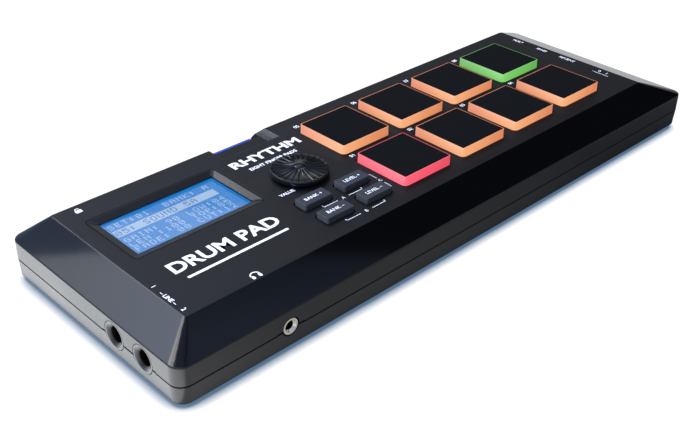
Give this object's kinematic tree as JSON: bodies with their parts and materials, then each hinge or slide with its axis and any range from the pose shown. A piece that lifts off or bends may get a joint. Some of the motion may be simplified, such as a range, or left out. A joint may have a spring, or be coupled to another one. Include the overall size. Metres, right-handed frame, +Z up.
{
  "type": "sampling drum pad",
  "caption": "Low flat desktop drum pad with lit square finger pads, a back-lit display, a flat data dial, rubber keys, a memory card slot and audio jacks.",
  "frame": {"origin": "on the table, under the middle of the case", "axes": "+X to the right along the length, from the display to the far pads; +Y to the rear, away from the player; +Z up"},
  "size_m": [0.315, 0.11, 0.0284],
  "materials": {
    "bezel_plastic": "moulded, satin black",
    "bright_nickel": "turned, bright plated",
    "cable_plastic": "flat grey cable",
    "card_plastic": "moulded blue",
    "case_plastic": "moulded, high gloss black",
    "chip_plastic": "moulded, matte",
    "circuit_board": "glass laminate with green mask",
    "clear_lens": "polished clear sheet",
    "contact_brass": "turned and plated",
    "dial_plastic": "moulded, glossy black",
    "foot_rubber": "moulded, matte",
    "jack_plastic": "moulded, glossy black",
    "key_rubber": "moulded, matte dark grey",
    "lamp_plastic": "clear resin",
    "lcd_glass": "back-lit blue glass",
    "pad_light_green": "see-through, lit from inside",
    "pad_light_orange": "see-through, lit from inside",
    "pad_light_red": "see-through, lit from inside",
    "pad_rubber": "moulded, matte black",
    "screw_steel": "black zinc plated",
    "sensor_film": "printed film",
    "sheet_steel": "folded or turned, plated",
    "slider_plastic": "moulded, ribbed",
    "switch_plastic": "moulded"
  },
  "bodies": {
    "case": {"board_chips": "chip_plastic", "board_screws": "screw_steel", "card_socket": "sheet_steel", "case_screws": "screw_steel", "control_jack_in": "jack_plastic", "control_jack_out": "jack_plastic", "data_port_shell": "sheet_steel", "data_port_tongue": "switch_plastic", "display_bezel": "bezel_plastic", "display_lens": "clear_lens", "encoder_body": "sheet_steel", "end_board": "circuit_board", "jack_board": "circuit_board", "key_switches": "switch_plastic", "lcd_frame": "sheet_steel", "lcd_panel": "lcd_glass", "line_jack_left": "jack_plastic", "line_jack_right": "jack_plastic", "line_jack_sleeves": "contact_brass", "lock_plate": "sheet_steel", "lower_shell": "case_plastic", "main_board": "circuit_board", "pad_board": "circuit_board", "pad_leds": "lamp_plastic", "pad_sensors": "sensor_film", "phones_jack": "jack_plastic", "phones_jack_ring": "bright_nickel", "power_switch_body": "sheet_steel", "ribbon_cables": "cable_plastic", "rubber_feet": "foot_rubber", "upper_shell": "case_plastic"},
    "pad_1": {"pad_skirt_1": "pad_light_red", "pad_top_1": "pad_rubber"},
    "pad_2": {"pad_skirt_2": "pad_light_orange", "pad_top_2": "pad_rubber"},
    "pad_3": {"pad_skirt_3": "pad_light_orange", "pad_top_3": "pad_rubber"},
    "pad_4": {"pad_skirt_4": "pad_light_orange", "pad_top_4": "pad_rubber"},
    "pad_5": {"pad_skirt_5": "pad_light_orange", "pad_top_5": "pad_rubber"},
    "pad_6": {"pad_skirt_6": "pad_light_orange", "pad_top_6": "pad_rubber"},
    "pad_7": {"pad_skirt_7": "pad_light_orange", "pad_top_7": "pad_rubber"},
    "pad_8": {"pad_skirt_8": "pad_light_green", "pad_top_8": "pad_rubber"},
    "key_1": {"key_cap_1": "key_rubber", "key_plunger_1": "switch_plastic"},
    "key_2": {"key_cap_2": "key_rubber", "key_plunger_2": "switch_plastic"},
    "key_3": {"key_cap_3": "key_rubber", "key_plunger_3": "switch_plastic"},
    "key_4": {"key_cap_4": "key_rubber", "key_plunger_4": "switch_plastic"},
    "dial": {"data_dial": "dial_plastic", "encoder_shaft": "sheet_steel"},
    "card": {"memory_card": "card_plastic"},
    "power_slider": {"power_switch_slider": "slider_plastic"}
  },
  "joints": [
    {"name": "pad_1_press", "type": "slide", "parent": "case", "child": "pad_1", "axis": [0, 0, -1], "range_m": [0, 0.0008], "stiffness_N_per_m": 4000},
    {"name": "pad_2_press", "type": "slide", "parent": "case", "child": "pad_2", "axis": [0, 0, -1], "range_m": [0, 0.0008], "stiffness_N_per_m": 4000},
    {"name": "pad_3_press", "type": "slide", "parent": "case", "child": "pad_3", "axis": [0, 0, -1], "range_m": [0, 0.0008], "stiffness_N_per_m": 4000},
    {"name": "pad_4_press", "type": "slide", "parent": "case", "child": "pad_4", "axis": [0, 0, -1], "range_m": [0, 0.0008], "stiffness_N_per_m": 4000},
    {"name": "pad_5_press", "type": "slide", "parent": "case", "child": "pad_5", "axis": [0, 0, -1], "range_m": [0, 0.0008], "stiffness_N_per_m": 4000},
    {"name": "pad_6_press", "type": "slide", "parent": "case", "child": "pad_6", "axis": [0, 0, -1], "range_m": [0, 0.0008], "stiffness_N_per_m": 4000},
    {"name": "pad_7_press", "type": "slide", "parent": "case", "child": "pad_7", "axis": [0, 0, -1], "range_m": [0, 0.0008], "stiffness_N_per_m": 4000},
    {"name": "pad_8_press", "type": "slide", "parent": "case", "child": "pad_8", "axis": [0, 0, -1], "range_m": [0, 0.0008], "stiffness_N_per_m": 4000},
    {"name": "key_1_press", "type": "slide", "parent": "case", "child": "key_1", "axis": [0, 0, -1], "range_m": [0, 0.0004], "stiffness_N_per_m": 3000},
    {"name": "key_2_press", "type": "slide", "parent": "case", "child": "key_2", "axis": [0, 0, -1], "range_m": [0, 0.0004], "stiffness_N_per_m": 3000},
    {"name": "key_3_press", "type": "slide", "parent": "case", "child": "key_3", "axis": [0, 0, -1], "range_m": [0, 0.0004], "stiffness_N_per_m": 3000},
    {"name": "key_4_press", "type": "slide", "parent": "case", "child": "key_4", "axis": [0, 0, -1], "range_m": [0, 0.0004], "stiffness_N_per_m": 3000},
    {"name": "dial_turn", "type": "hinge", "parent": "case", "child": "dial", "pos_m": [-0.04655, 0.0083, 0.0248], "axis": [0, 0, 1], "continuous": true},
    {"name": "card_slide", "type": "slide", "parent": "case", "child": "card", "axis": [0, 1, 0], "range_m": [0, 0.03]},
    {"name": "power_slide", "type": "slide", "parent": "case", "child": "power_slider", "axis": [0, 1, 0], "range_m": [0, 0.003]}
  ]
}
